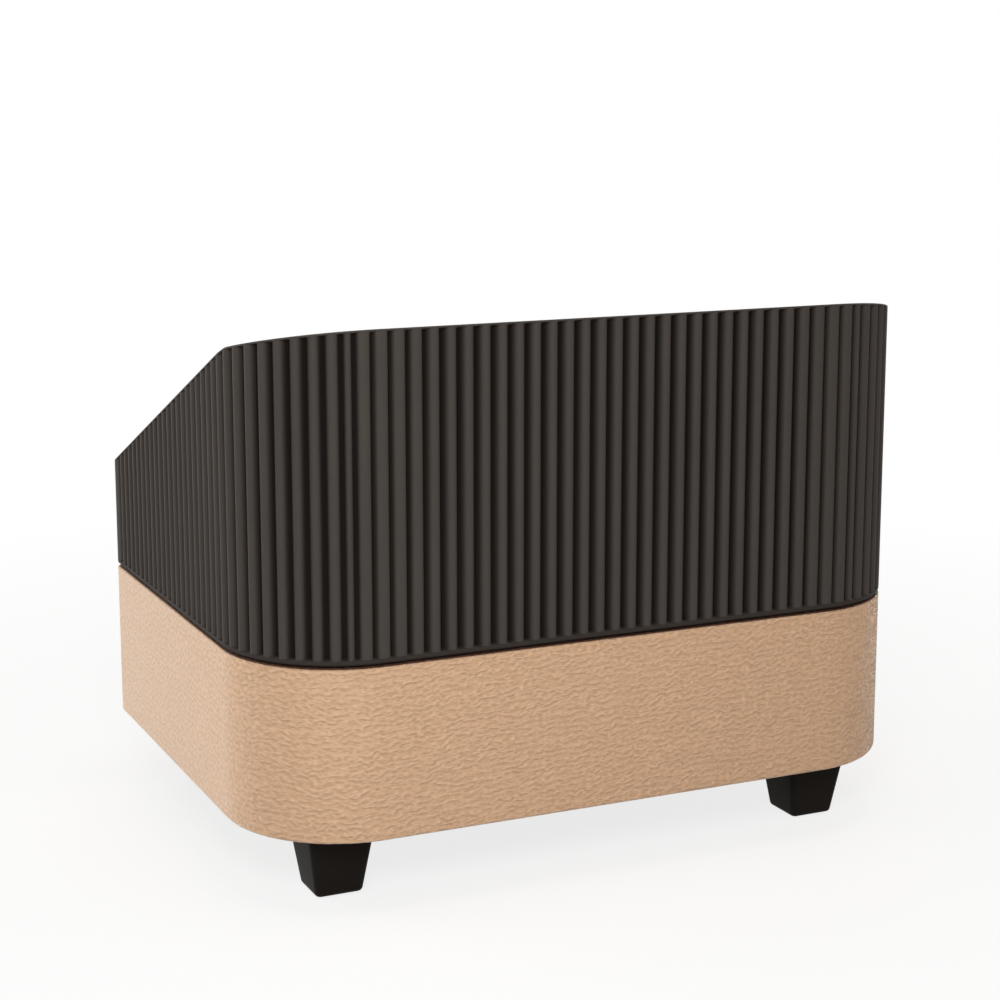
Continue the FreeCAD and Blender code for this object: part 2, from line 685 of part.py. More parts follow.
slots = []
for name, y in (("rear", "rear_y"), ("fore", "fore_y")):
    slots.append(wall_slot(name + "_slots", "-shell_inner_half - slot_depth", y + " - slot_half",
                           "shell_inner_half + slot_depth", y + " + slot_half"))
for side, sign in SIDES:
    x = "0 %s brush_bay / 2" % sign
    slots.append(wall_slot("brush_slot_" + side, x + " - slot_half", "back_face - shell_wall - slot_depth",
                           x + " + slot_half", "back_face - shell_wall + slot_depth"))
slots.append(wall_slot("front_slot", "-slot_half", "front_face + shell_wall - slot_depth",
                       "slot_half", "front_face + shell_wall + slot_depth"))

shell_pilots = [screw("shell_pilot_" + where, "shell_screw", x, y, "deck_bottom", UP, "screw_fit")
                for where, x, y in shell_places]
shell_blank = fuse("shell_blank", rib_wall, bead, flange_ring)
keep(cut("ribbed_shell", shell_blank, *slots, *shell_pilots))

# ---------------------------------------------------------------------------------------------------------
# Tray floor, partitions and dividers
# ---------------------------------------------------------------------------------------------------------

tray_plug = outline_plate("tray_plug", "shell_wall + flange + tray_fit", "base_top", "tray_top")
tray_plate = outline_plate("tray_plate", "shell_wall + tray_fit", "base_top + flange_plate", "tray_top")
keep(fuse("tray_floor", tray_plug, tray_plate))


def partition(name, x_low, y_low, x_high, y_high, top):
    body = plate(name, x_low, y_low, x_high, y_high, "tray_top", top)
    doc.recompute()
    top_height = body.Shape.BoundBox.ZMax - body.Placement.Base.z
    longest = max(edge.Length for edge in body.Tip.Shape.Edges if not upright(edge))
    fillet(body, "partition_edge", lambda edge: at_height(edge, top_height) and edge.Length > longest / 2)
    return body


reach = "(shell_inner_half + seat)"
half = "partition / 2"
rear_blank = partition("rear_blank", "-" + reach, "rear_y - " + half, reach, "rear_y + " + half, "rear_top")
fore_blank = partition("fore_blank", "-" + reach, "fore_y - " + half, reach, "fore_y + " + half, "fore_top")


def face_slot(name, x, face_y, top):
    """The slot for a divider's tongue, in the face of a partition at face_y."""
    return block(name, x + " - slot_half", face_y + " - tongue", "tray_top - overshoot",
                 x + " + slot_half", face_y + " + tongue", top)


rear_back = "rear_y + partition / 2"
rear_front = "rear_y - partition / 2"
fore_back = "fore_y + partition / 2"
fore_front = "fore_y - partition / 2"
rear_slots = [face_slot("rear_slot_" + side, "0 %s brush_bay / 2" % sign, rear_back, "rear_top + overshoot")
              for side, sign in SIDES]
rear_slots.append(face_slot("rear_slot_middle", "0", rear_front, "fore_top"))
keep(cut("rear_partition", rear_blank, *rear_slots))
fore_slots = [face_slot("fore_slot_middle", "0", fore_back, "fore_top + overshoot"),
              face_slot("fore_slot_front", "0", fore_front, "low_top")]
keep(cut("front_partition", fore_blank, *fore_slots))

tongue_reach = "(tongue - slot_fit)"
for side, sign in SIDES:
    x = "0 %s brush_bay / 2" % sign
    keep(partition("brush_divider_" + side, "%s - %s" % (x, half), "%s - %s" % (rear_back, tongue_reach),
                   "%s + %s" % (x, half), "back_face - shell_wall + seat", "rear_top"))
keep(partition("middle_divider", "-" + half, "%s - %s" % (fore_back, tongue_reach), half,
               "%s + %s" % (rear_front, tongue_reach), "fore_top - slot_fit"))
keep(partition("front_divider", "-" + half, "front_face + shell_wall - seat", half,
               "%s + %s" % (fore_front, tongue_reach), "low_top - slot_fit"))

# ---------------------------------------------------------------------------------------------------------
# Drawer
# ---------------------------------------------------------------------------------------------------------

floor_low = "(drawer_bottom + floor_rise)"
floor_high = "(drawer_bottom + floor_rise + drawer_floor)"
groove_half = "(drawer_inner + floor_groove)"
groove_front = "(drawer_start + drawer_board - floor_groove)"
groove_back = "(drawer_end - drawer_board + floor_groove)"
floor_groove = block("floor_groove", "-" + groove_half, groove_front, floor_low + " - slot_fit",
                     groove_half, groove_back, floor_high + " + slot_fit")


def front_screws(prefix, grow="0"):
    made = []
    for side, side_sign in SIDES:
        for level, level_sign in (("low", "-"), ("high", "+")):
            made.append((prefix + level + "_" + side, "0 %s front_screw_x" % side_sign,
                         "front_middle %s front_screw_z / 2" % level_sign))
    return [(name, x, z, screw(name, "front_screw", x, "drawer_start + drawer_board", z, FRONTWARD, grow))
            for name, x, z in made]


def knob_bore(name, radius):
    return rod(name, radius, "drawer_board + front_depth + overshoot", "0", "drawer_start + drawer_board",
               "front_middle", FRONTWARD)


def top_rounded(body):
    doc.recompute()
    top_height = body.Tip.Shape.BoundBox.ZMax
    longest = max(edge.Length for edge in body.Tip.Shape.Edges if not upright(edge))
    fillet(body, "partition_edge", lambda edge: at_height(edge, top_height) and edge.Length > longest / 2)
    return body


for side, sign in SIDES:
    low, high = ("-drawer_half", "-drawer_inner") if side == "left" else ("drawer_inner", "drawer_half")
    board = top_rounded(plate("drawer_side_blank_" + side, low, "drawer_start", high, "drawer_end",
                              "drawer_bottom", "drawer_top"))
    keep(cut("drawer_side_" + side, board, floor_groove))

back_board = top_rounded(plate("drawer_back_blank", "-(drawer_inner - slot_fit)",
                               "drawer_end - drawer_board", "drawer_inner - slot_fit", "drawer_end",
                               "drawer_bottom", "drawer_top + back_rise"))
keep(cut("drawer_back", back_board, floor_groove))

inner_front = top_rounded(plate("drawer_inner_blank", "-(drawer_inner - slot_fit)", "drawer_start",
                                "drawer_inner - slot_fit", "drawer_start + drawer_board",
                                "drawer_bottom", "drawer_top"))
keep(cut("drawer_inner_front", inner_front, floor_groove,
         *[item for _, _, _, item in front_screws("inner_hole_", "screw_fit")],
         knob_bore("inner_knob_bore", "screw_radius + screw_fit")))

keep(block("drawer_floor", "-(%s - slot_fit)" % groove_half, "%s + slot_fit" % groove_front, floor_low,
           "%s - slot_fit" % groove_half, "%s - slot_fit" % groove_back, floor_high))

keep(block("drawer_felt", "-(drawer_inner - tray_fit)", "drawer_start + drawer_board + tray_fit", floor_high,
           "drawer_inner - tray_fit", "drawer_end - drawer_board - tray_fit", floor_high + " + felt"))


def front_block(name, inset, rounding):
    """The drawer front, drawn in by an amount all round but not at its back."""
    body = plate(name, "-(front_half - %s)" % inset, "front_face + " + inset, "front_half - " + inset,
                 "drawer_start", "front_low + " + inset, "front_high - " + inset)
    doc.recompute()
    front_y = body.Tip.Shape.BoundBox.YMin
    fillet(body, rounding, lambda edge: all(abs(vertex.Y - front_y) < TOUCH for vertex in edge.Vertexes))
    return body


core = front_block("front_core_block", "leather", "front_edge - leather")
keep(cut("drawer_front", core, *[item for _, _, _, item in front_screws("front_hole_", "screw_fit")],
         knob_bore("front_knob_bore", "screw_radius + screw_fit")))
skin = front_block("front_skin_block", "0", "front_edge")
keep(cut("drawer_front_leather", skin, core, knob_bore("skin_knob_bore", "screw_radius + screw_fit")))

inside_y = "drawer_start + drawer_board"
keep(group("drawer_front_screws", [
    cut("driven_" + name, item, *driver_cross("front_driver_" + name, x, inside_y, z, True))
    for name, x, z, item in front_screws("front_screw_")]))

# Knob: turned about its own axis, seated on the leather
knob = new_body("drawer_knob", "0", "front_face", "front_middle")
knob_profile = draw_polygon(new_sketch(knob, "YZ_Plane"), [
    ("0", "screw_radius + screw_fit"),
    ("0", "knob_foot"),
    ("-knob_foot_height", "knob_foot"),
    ("-knob_foot_height - knob_foot_slope", "knob_neck"),
    ("-knob_reach + knob_crown + knob_rim + knob_flare", "knob_neck"),
    ("-knob_reach + knob_crown + knob_rim", "knob_head"),
    ("-knob_reach + knob_crown", "knob_head"),
    ("-knob_reach", "knob_face"),
    ("-knob_reach", "0"),
    ("-knob_thread - overshoot", "0"),
    ("-knob_thread - overshoot", "screw_radius + screw_fit"),
])
turning = knob.newObject("PartDesign::Revolution", "knob_turning")
turning.Profile = knob_profile
turning.ReferenceAxis = (knob_profile, ["H_Axis"])
turning.Angle = 360
head_depths = [size("knob_reach"), size("knob_reach") - size("knob_crown"),
               size("knob_reach") - size("knob_crown") - size("knob_rim")]
fillet(knob, "knob_edge",
       lambda edge: any(abs(edge.CenterOfMass.y + depth) < TOUCH for depth in head_depths))
keep(knob)

head_y = inside_y + " + head_height"
knob_shank = rod("knob_shank", "screw_radius", "knob_screw", "0", inside_y, "front_middle", FRONTWARD)
knob_head = rod("knob_screw_head", "head_radius", "head_height", "0", head_y, "front_middle", FRONTWARD)
keep(cut("knob_screw", fuse("knob_screw_blank", knob_shank, knob_head),
         *driver_cross("knob_driver", "0", head_y, "front_middle", True)))

# ---------------------------------------------------------------------------------------------------------
# Check and write
# ---------------------------------------------------------------------------------------------------------

doc.recompute()
for item in doc.Objects:
    if "Invalid" in item.State or "Error" in item.State:
        raise RuntimeError("%s failed: %s" % (item.Label, item.State))
for item in nodes:
    if item.Shape.isNull() or not item.Shape.isValid():
        raise RuntimeError("%s has no valid shape" % item.Label)

os.makedirs("parts", exist_ok=True)
for item in nodes:
    item.Shape.exportStep("parts/%s.step" % item.Label)
print(len(nodes), "sub-parts written")
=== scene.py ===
import bisect
import json
import math

import bmesh
import bpy
from mathutils import Matrix, Vector


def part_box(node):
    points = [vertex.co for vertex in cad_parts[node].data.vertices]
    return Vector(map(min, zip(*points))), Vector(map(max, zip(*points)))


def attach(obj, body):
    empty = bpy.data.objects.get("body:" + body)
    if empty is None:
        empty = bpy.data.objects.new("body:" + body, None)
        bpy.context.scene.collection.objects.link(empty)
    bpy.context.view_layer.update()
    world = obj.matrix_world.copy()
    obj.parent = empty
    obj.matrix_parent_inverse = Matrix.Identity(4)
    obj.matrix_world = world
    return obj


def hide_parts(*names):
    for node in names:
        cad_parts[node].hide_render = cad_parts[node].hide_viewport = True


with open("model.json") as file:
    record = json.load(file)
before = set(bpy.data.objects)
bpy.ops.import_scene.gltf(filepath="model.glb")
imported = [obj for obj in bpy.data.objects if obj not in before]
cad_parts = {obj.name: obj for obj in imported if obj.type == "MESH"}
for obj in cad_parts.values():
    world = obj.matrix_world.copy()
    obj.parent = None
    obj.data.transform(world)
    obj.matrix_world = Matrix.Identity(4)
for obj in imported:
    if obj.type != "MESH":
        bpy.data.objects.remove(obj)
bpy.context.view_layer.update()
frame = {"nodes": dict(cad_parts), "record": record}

# Make-up brush holder with a drawer: the finish of every surface, the fine mesh of the ribbed shell and the
# soft edges of the boards, leather and felt.  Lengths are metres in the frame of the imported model: +Z up,
# drawer towards -Y, tall back towards +Y.

MM = 0.001

# ---------------------------------------------------------------------------------------------------------
# Materials
# ---------------------------------------------------------------------------------------------------------


def colour(hex_code):
    """An sRGB hex colour as linear RGBA."""
    channels = [int(hex_code[i:i + 2], 16) / 255 for i in (1, 3, 5)]
    linear = [c / 12.92 if c <= 0.04045 else ((c + 0.055) / 1.055) ** 2.4 for c in channels]
    return (*linear, 1.0)


def add(tree, kind, sockets=None, **settings):
    """Add a shader node.  A socket gets a plain value, or is linked to another node's output."""
    made = tree.nodes.new("ShaderNode" + kind)
    for name, value in settings.items():
        setattr(made, name, value)
    for key, value in (sockets or {}).items():
        if isinstance(value, bpy.types.NodeSocket):
            tree.links.new(value, made.inputs[key])
        else:
            made.inputs[key].default_value = value
    return made


# A Mix node's colour sockets, which share their names with its other kinds.
MIX_A, MIX_B, MIX_RESULT = 6, 7, 2

# A wave texture at a scale of one repeats after about this length.
WAVE_LENGTH = 0.31


def new_material(name):
    """An empty material with its tree and the object coordinates."""
    material = bpy.data.materials.new(name)
    material.use_nodes = True
    tree = material.node_tree
    tree.nodes.clear()
    where = add(tree, "TexCoord").outputs["Object"]
    return material, tree, where


def surface(tree, sockets):
    """The principled surface that ends a material's tree."""
    shader = add(tree, "BsdfPrincipled", sockets)
    add(tree, "OutputMaterial", {"Surface": shader.outputs[0]})
    return shader


def per_mm(size):
    """The scale of a noise whose features are about that many millimetres across."""
    return 1 / (size * MM)


# The leather grain: folds this many millimetres apart, that wander and break up sideways.  Outside TAUT_FROM
# the cover is pulled tighter, up to TAUT_TO, just inside the straight sides.
FOLD_SPACING = 2.0
FOLD_WANDER = 1.3 * MM
FOLD_BREAK = 9.0
FOLD_HEIGHT = 0.42 * MM
TAUT_FROM = 108.8 * MM
TAUT_TO = 112.4 * MM
TAUT_SHARE = 0.3

# How much the long ripple and the pores add to the grain's height, beside the small lens-shaped folds.
RIPPLE_SHARE = 0.34
PORE_SHARE = 0.10


def pebbled_leather(name, face, valley_shade, haze):
    """Split leather with an embossed grain under a thin matt coat: soft, broken folds that run level, about
    two millimetres apart, with painted shade that darkens the valleys, and a pale haze where it is seen at a
    flat angle.  It is pulled tightest along the straight sides, where the folds lie flatter."""
    material, tree, where = new_material(name)
    wander = add(tree, "TexNoise", {"Vector": where, "Scale": per_mm(11), "Detail": 1.0}).outputs["Color"]
    moved = add(tree, "VectorMath", {0: wander, "Scale": FOLD_WANDER}, operation="SCALE").outputs[0]
    bent = add(tree, "VectorMath", {0: where, 1: moved}, operation="ADD").outputs[0]
    drawn = add(tree, "Mapping", {"Vector": bent, "Scale": (1.0, 1.0, 2.2)}).outputs[0]
    level = add(tree, "Mapping", {"Vector": bent, "Scale": (1.0, 1.0, 0.75)}).outputs[0]
    wobble = add(tree, "TexNoise", {"Vector": level, "Scale": per_mm(3.0), "Detail": 0.0}).outputs["Fac"]
    phase = add(tree, "Math", {0: wobble, 1: FOLD_BREAK}, operation="MULTIPLY").outputs[0]
    ripple = add(tree, "TexWave", {"Vector": bent, "Scale": per_mm(FOLD_SPACING) * WAVE_LENGTH,
                                   "Distortion": 0.0, "Phase Offset": phase},
                 bands_direction="Z").outputs["Fac"]
    lens = add(tree, "TexNoise", {"Vector": drawn, "Scale": per_mm(1.5), "Detail": 0.0}).outputs["Fac"]
    pores = add(tree, "TexNoise", {"Vector": where, "Scale": per_mm(0.7), "Detail": 1.0}).outputs["Fac"]
    folds = add(tree, "Math", {0: ripple, 1: RIPPLE_SHARE, 2: lens}, operation="MULTIPLY_ADD").outputs[0]
    height = add(tree, "MapRange", {"Value": folds, "From Min": 0.36, "From Max": 1.0}).outputs[0]
    relief = add(tree, "Math", {0: pores, 1: PORE_SHARE, 2: height}, operation="MULTIPLY_ADD").outputs[0]
    across = add(tree, "SeparateXYZ", {0: where}).outputs[0]
    aside = add(tree, "Math", {0: across}, operation="ABSOLUTE").outputs[0]
    taut = add(tree, "MapRange", {"Value": aside, "From Min": TAUT_FROM, "From Max": TAUT_TO,
                                  "To Min": 1.0, "To Max": TAUT_SHARE}).outputs[0]
    bump = add(tree, "Bump", {"Height": relief, "Strength": taut, "Distance": FOLD_HEIGHT}).outputs[0]
    blotch = add(tree, "TexNoise", {"Vector": where, "Scale": per_mm(45), "Detail": 2.0}).outputs["Fac"]
    # Painted shade: the lower the grain, the closer its colour is to the darker valley colour.
    tone = add(tree, "Mix", {0: height, MIX_A: colour(valley_shade), MIX_B: colour(face)},
               data_type="RGBA").outputs[MIX_RESULT]
    shade = add(tree, "MapRange", {"Value": blotch, "To Min": 0.98, "To Max": 1.02}).outputs[0]
    tone = add(tree, "VectorMath", {0: tone, "Scale": shade}, operation="SCALE").outputs[0]
    surface(tree, {"Base Color": tone, "Roughness": 0.62, "IOR": 1.46, "Specular IOR Level": 0.3,
                   "Normal": bump, "Sheen Weight": haze, "Sheen Roughness": 0.35,
                   "Sheen Tint": colour("#FFF1E2")})
    return material


def moulded_plastic(name, shade, painted_shade, roughness, gloss, grain_mm, relief_mm):
    """Injection-moulded ABS from a spark-eroded mould: an even matt skin with a fine grain.  A mesh attribute
    paints
    shade onto it: where the attribute runs up to one, the colour goes over to the darker second colour and
    the gloss fades.  The shell paints its groove floors, seam and lower bead this way."""
    material, tree, where = new_material(name)
    grain = add(tree, "TexNoise", {"Vector": where, "Scale": per_mm(grain_mm), "Detail": 2.0}).outputs["Fac"]
    cloud = add(tree, "TexNoise", {"Vector": where, "Scale": per_mm(30), "Detail": 2.0}).outputs["Fac"]
    factor = add(tree, "MapRange", {"Value": cloud, "To Min": 0.93, "To Max": 1.07}).outputs[0]
    # Painted shade: a mesh attribute darkens the surface towards the second colour where shade would fall.
    painted_shade_share = add(tree, "Attribute", attribute_name="painted_shade").outputs["Fac"]
    tone = add(tree, "Mix", {0: painted_shade_share, MIX_A: colour(shade), MIX_B: colour(painted_shade)},
               data_type="RGBA").outputs[MIX_RESULT]
    tone = add(tree, "VectorMath", {0: tone, "Scale": factor}, operation="SCALE").outputs[0]
    rough = add(tree, "MapRange", {"Value": grain, "To Min": roughness - 0.05,
                                   "To Max": roughness + 0.05}).outputs[0]
    bump = add(tree, "Bump", {"Height": grain, "Strength": 0.5, "Distance": relief_mm * MM}).outputs[0]
    # Where shade is painted, the gloss fades out too.
    shine = add(tree, "MapRange", {"Value": painted_shade_share, "To Min": gloss, "To Max": 0.01}).outputs[0]
    surface(tree, {"Base Color": tone, "Roughness": rough, "IOR": 1.52, "Specular IOR Level": shine,
                   "Normal": bump})
    return material


def fibre_board(name, core, chip):
    """Medium-density fibreboard: pressed wood fibre, pale brown with darker flecks under a millimetre
    long."""
    material, tree, where = new_material(name)
    fleck = add(tree, "TexNoise", {"Vector": where, "Scale": per_mm(0.7), "Detail": 4.0}).outputs["Fac"]
    share = add(tree, "MapRange", {"Value": fleck, "From Min": 0.38, "From Max": 0.66}).outputs[0]
    tone = add(tree, "Mix", {0: share, MIX_A: colour(chip), MIX_B: colour(core)},
               data_type="RGBA").outputs[MIX_RESULT]
    bump = add(tree, "Bump", {"Height": fleck, "Strength": 0.35, "Distance": 0.05 * MM}).outputs[0]
    surface(tree, {"Base Color": tone, "Roughness": 0.82, "IOR": 1.5, "Normal": bump})
    return material


def bent_plywood(name, face, vein):
    """Bent plywood: the grain runs round the base in lines about a millimetre apart."""
    material, tree, where = new_material(name)
    along = add(tree, "Mapping", {"Vector": where, "Scale": (1.0, 1.0, 14.0)}).outputs[0]
    grain = add(tree, "TexNoise", {"Vector": along, "Scale": per_mm(16), "Detail": 5.0}).outputs["Fac"]
    share = add(tree, "MapRange", {"Value": grain, "From Min": 0.35, "From Max": 0.65}).outputs[0]
    tone = add(tree, "Mix", {0: share, MIX_A: colour(vein), MIX_B: colour(face)},
               data_type="RGBA").outputs[MIX_RESULT]
    bump = add(tree, "Bump", {"Height": grain, "Strength": 0.3, "Distance": 0.08 * MM}).outputs[0]
    surface(tree, {"Base Color": tone, "Roughness": 0.62, "IOR": 1.5, "Normal": bump})
    return material


def laminated_board(name, shade):
    """Board with a black melamine-paper face: a dull sheen over a faint print-through of fibres."""
    material, tree, where = new_material(name)
    stretched = add(tree, "Mapping", {"Vector": where, "Scale": (0.12, 1.0, 1.0)}).outputs[0]
    fibre = add(tree, "TexNoise", {"Vector": stretched, "Scale": per_mm(0.9), "Detail": 3.0}).outputs["Fac"]
    factor = add(tree, "MapRange", {"Value": fibre, "To Min": 0.85, "To Max": 1.15}).outputs[0]
    tone = add(tree, "VectorMath", {0: colour(shade)[:3], "Scale": factor}, operation="SCALE").outputs[0]
    bump = add(tree, "Bump", {"Height": fibre, "Strength": 0.25, "Distance": 0.04 * MM}).outputs[0]
    surface(tree, {"Base Color": tone, "Roughness": 0.48, "IOR": 1.5, "Normal": bump})
    return material


def felt_cloth(name, shade, pale, fibre_mm):
    """Felted fibre: no weave, matted hairs that scatter light softly at the edges."""
    material, tree, where = new_material(name)
    hair = add(tree, "TexNoise", {"Vector": where, "Scale": per_mm(fibre_mm), "Detail": 5.0,
                                  "Roughness": 0.65, "Distortion": 0.8}).outputs["Fac"]
    share = add(tree, "MapRange", {"Value": hair, "From Min": 0.35, "From Max": 0.68}).outputs[0]
    tone = add(tree, "Mix", {0: share, MIX_A: colour(shade), MIX_B: colour(pale)},
               data_type="RGBA").outputs[MIX_RESULT]
    bump = add(tree, "Bump", {"Height": hair, "Strength": 0.8, "Distance": 0.25 * MM}).outputs[0]
    surface(tree, {"Base Color": tone, "Roughness": 0.95, "IOR": 1.4, "Normal": bump,
                   "Sheen Weight": 0.35, "Sheen Roughness": 0.5})
    return material


def natural_nylon(name, shade):
    """Natural nylon: milky, slightly waxy, and smoother in patches."""
    material, tree, where = new_material(name)
    wear = add(tree, "TexNoise", {"Vector": where, "Scale": per_mm(6), "Detail": 2.0}).outputs["Fac"]
    rough = add(tree, "MapRange", {"Value": wear, "To Min": 0.34, "To Max": 0.50}).outputs[0]
    factor = add(tree, "MapRange", {"Value": wear, "To Min": 0.95, "To Max": 1.03}).outputs[0]
    tone = add(tree, "VectorMath", {0: colour(shade)[:3], "Scale": factor}, operation="SCALE").outputs[0]
    surface(tree, {"Base Color": tone, "Roughness": rough, "IOR": 1.53, "Subsurface Weight": 0.15,
                   "Subsurface Scale": 1.5 * MM})
    return material


def soft_rubber(name, shade):
    """Moulded rubber: nearly black, dull, with a faint bloom."""
    material, tree, where = new_material(name)
    bloom = add(tree, "TexNoise", {"Vector": where, "Scale": per_mm(2.5), "Detail": 3.0}).outputs["Fac"]
    rough = add(tree, "MapRange", {"Value": bloom, "To Min": 0.74, "To Max": 0.90}).outputs[0]
    factor = add(tree, "MapRange", {"Value": bloom, "To Min": 0.85, "To Max": 1.2}).outputs[0]
    tone = add(tree, "VectorMath", {0: colour(shade)[:3], "Scale": factor}, operation="SCALE").outputs[0]
    surface(tree, {"Base Color": tone, "Roughness": rough, "IOR": 1.52})
    return material


def zinc_plated_steel(name, shade):
    """Zinc-plated steel: bright, slightly blotched by the plating bath."""
    material, tree, where = new_material(name)
    bath = add(tree, "TexNoise", {"Vector": where, "Scale": per_mm(1.2), "Detail": 3.0}).outputs["Fac"]
    rough = add(tree, "MapRange", {"Value": bath, "To Min": 0.24, "To Max": 0.40}).outputs[0]
    factor = add(tree, "MapRange", {"Value": bath, "To Min": 0.92, "To Max": 1.05}).outputs[0]
    tone = add(tree, "VectorMath", {0: colour(shade)[:3], "Scale": factor}, operation="SCALE").outputs[0]
    surface(tree, {"Base Color": tone, "Metallic": 1.0, "Roughness": rough})
    return material


def satin_lacquer(name, shade):
    """Turned metal under black satin lacquer, with a very fine unevenness in the coat."""
    material, tree, where = new_material(name)
    speck = add(tree, "TexNoise", {"Vector": where, "Scale": per_mm(0.35), "Detail": 2.0}).outputs["Fac"]
    rough = add(tree, "MapRange", {"Value": speck, "To Min": 0.30, "To Max": 0.38}).outputs[0]
    bump = add(tree, "Bump", {"Height": speck, "Strength": 0.25, "Distance": 0.02 * MM}).outputs[0]
    surface(tree, {"Base Color": colour(shade), "Roughness": rough, "IOR": 1.5, "Normal": bump,
                   "Coat Weight": 0.25, "Coat Roughness": 0.2})
    return material


finishes = {
    # The second colour of a moulded plastic is painted shade. Only the shell's is darker than its own colour,
    # for its grooves, seam and bead.
    "shell_plastic": moulded_plastic("charcoal_abs", "#433E3A", "#1A1714", 0.58, 0.07, 0.45, 0.02),
    "inner_plastic": moulded_plastic("black_abs", "#393634", "#393634", 0.52, 0.12, 0.45, 0.03),
    "wall_board": bent_plywood("bent_plywood", "#C9A67C", "#A9825A"),
    "panel_board": fibre_board("fibreboard", "#B08D66", "#8E6C49"),
    "drawer_panel": laminated_board("black_laminate", "#3B3735"),
    # The leather's second colour is painted shade for the valleys of its grain.
    "tan_leather": pebbled_leather("tan_pebble_leather", "#D3AE8E", "#BF9B7A", 0.9),
    "lining_cloth": felt_cloth("nonwoven_lining", "#1F1D1C", "#3A3735", 0.6),
    "drawer_felt": felt_cloth("charcoal_felt", "#35312F", "#57514D", 0.5),
    "foot_plastic": moulded_plastic("satin_black_abs", "#1B1714", "#1B1714", 0.5, 0.04, 0.4, 0.01),
    "pad_rubber": soft_rubber("soft_rubber", "#242221"),
    "runner_nylon": natural_nylon("natural_nylon", "#DEDBD0"),
    "knob_metal": satin_lacquer("black_satin_lacquer", "#262321"),
    "screw_steel": zinc_plated_steel("zinc_plated_steel", "#C6C7C8"),
}

slot_of = {part["node"]: part["material_slot"] for part in frame["record"]["subparts"]}
body_of = {node: body for body, members in frame["record"]["behaviour"]["bodies"].items() for node in members}
for node, item in frame["nodes"].items():
    item.data.materials.clear()
    item.data.materials.append(finishes[slot_of[node]])

# ---------------------------------------------------------------------------------------------------------
# Finishing a piece
# ---------------------------------------------------------------------------------------------------------

SMOOTH_ANGLE = math.radians(32)
SHELL_SMOOTH_ANGLE = math.radians(50)
SHARP_ANGLE = math.radians(45)
FLAT_ANGLE = math.radians(0.5)
MERGE = 0.002 * MM


def piece_for(node, name, mesh_work, smooth_angle=SMOOTH_ANGLE):
    """Turn finished mesh work into the piece that stands for a node."""
    mesh = bpy.data.meshes.new(name)
    mesh_work.to_mesh(mesh)
    mesh_work.free()
    mesh.shade_smooth()
    mesh.set_sharp_from_angle(angle=smooth_angle)
    mesh.materials.append(finishes[slot_of[node]])
    piece = bpy.data.objects.new(name, mesh)
    bpy.context.scene.collection.objects.link(piece)
    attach(piece, body_of[node])
    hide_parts(node)
    return piece


def merged_copy(node):
    """The node's mesh as one closed skin, flat faces whole."""
    work = bmesh.new()
    work.from_mesh(frame["nodes"][node].data)
    bmesh.ops.remove_doubles(work, verts=work.verts, dist=MERGE)
    bmesh.ops.dissolve_limit(work, angle_limit=FLAT_ANGLE, verts=work.verts, edges=work.edges)
    return work


def soften(work, width, segments):
    """Round the piece's sharp edges."""
    edges = [edge for edge in work.edges if edge.is_manifold and edge.calc_face_angle() > SHARP_ANGLE]
    bmesh.ops.bevel(work, geom=edges, offset=width, offset_type="OFFSET", affect="EDGES", segments=segments,
                    profile=0.5, material=-1, clamp_overlap=True)
    return work


# ---------------------------------------------------------------------------------------------------------
# Ribbed shell
# ---------------------------------------------------------------------------------------------------------

shell_low, shell_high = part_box("ribbed_shell")

# The body's outline and the shell's falling top edge.
BACK_RADIUS = 37 * MM
FRONT_RADIUS = 4 * MM
LEAST_RADIUS = 0.5 * MM
CREST_LENGTH = 30.2 * MM
CREST_DROP = 6.6 * MM
CREST_RADIUS = 14 * MM
FRONT_HEIGHT = 36.5 * MM
SHELL_WALL = 4 * MM
FLANGE = 12 * MM
FLANGE_PLATE = 2.5 * MM

# The ribs.  CLOSING_ARC is how far round the back corner the even ribs reach before the narrow one, and
# GROOVE_FLOOR is half the width of a groove's floor.  CORNER_TIGHT is the share by which the grooves are
# tighter where the back turns, and CORNER_REACH is how far to either side that is felt.
RIB_PITCH = 5.375 * MM
NARROW_RIB = 3.8 * MM
CLOSING_ARC = 10.5 * MM
CORNER_MARGIN = 1.9 * MM
GROOVE_FLOOR = 0.48 * MM
GROOVE_WALL = 1.10 * MM
GROOVE_DEPTH = 2.2 * MM
RIB_CROWN = 0.45 * MM
CROWN_FULLNESS = 2.5
CORNER_TIGHT = 0.35
CORNER_REACH = 24 * MM

# The foot of the ribs with its bead and seam, the rim with the lip that closes the grooves, and the slots.
# BEAD_SHADE is the share of painted shade at the top of the bead, and the last number sets how fast the
# painted shade in a groove grows as the groove deepens.
SCOOP_START = 2.6 * MM
SCOOP_LENGTH = 0.5 * MM
SEAM_HEIGHT = 0.9 * MM
SEAM_DEPTH = 3.0 * MM
BEAD_ROUND = 1.1 * MM
RIM_ROUND = 0.7 * MM
LIP_HEIGHT = 0.55 * MM
LIP_ROUND = 0.4 * MM
SLOT_DEPTH = 1.0 * MM
SLOT_PLAY = 0.1 * MM
BEAD_SHADE = 0.45
GROOVE_SHADE_FALL = 1.6

# How the outline is sampled: shares of a groove's wall and of the way from one groove to the next, the
# step beside a slot, the number of steps round a front corner and the least step that is kept.
WALL_SHARES = (0.0, 0.2, 0.4, 0.6, 0.8, 1.0)
CROWN_SHARES = (0.30, 0.34, 0.38, 0.44, 0.5, 0.56, 0.62, 0.66, 0.70)
SLOT_STEP = 0.03 * MM
FRONT_STEPS = 6
LEAST_STEP = 0.02 * MM

